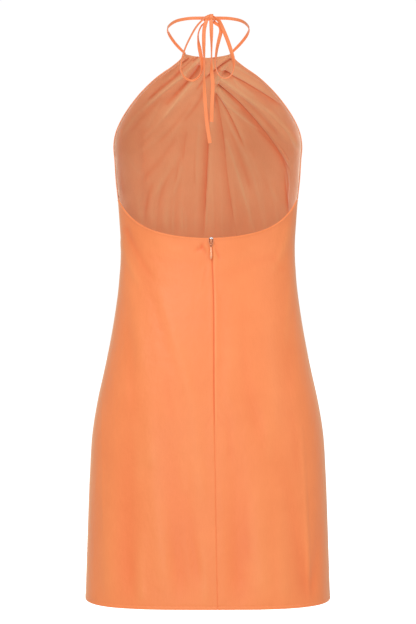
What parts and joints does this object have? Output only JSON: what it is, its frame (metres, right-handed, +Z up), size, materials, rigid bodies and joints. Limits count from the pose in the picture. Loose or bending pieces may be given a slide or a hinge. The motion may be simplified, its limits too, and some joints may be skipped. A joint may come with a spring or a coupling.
{
  "type": "halter dress",
  "caption": "Short backless halter dress in satin, with a pleated front, a scooped open back with a concealed zip, and thin neck ties in a bow at the nape.",
  "frame": {"origin": "the nape: where the tied neck ties bear on the back of the wearer's neck, on the inner face of the bow's knot", "axes": "+Z up along the hanging dress, the wearer's front towards -Y, the wearer's left towards +X"},
  "size_m": [0.3902, 0.2608, 0.9147],
  "materials": {
    "satin": "orange satin: a soft sheen on the outside, matt on the inside",
    "zip_tape": "orange woven zip tape",
    "zip_steel": "bright steel, a little worn",
    "zip_enamel": "orange enamel on metal"
  },
  "bodies": {
    "dress": {"front": "satin", "back_left": "satin", "back_right": "satin", "neck_tie_left": "satin", "neck_tie_right": "satin", "bow_knot": "satin", "bow_loop_left": "satin", "bow_loop_right": "satin", "tie_end_left": "satin", "tie_end_right": "satin", "zip_tape": "zip_tape", "zip_slider": "zip_steel"},
    "pull": {"zip_pull": "zip_enamel"}
  },
  "joints": [
    {"name": "pull_swing", "type": "hinge", "parent": "dress", "child": "pull", "pos_m": [-0.005, 0.03028, -0.34975], "axis": [1, 0, 0], "range_deg": [0, 170]}
  ]
}
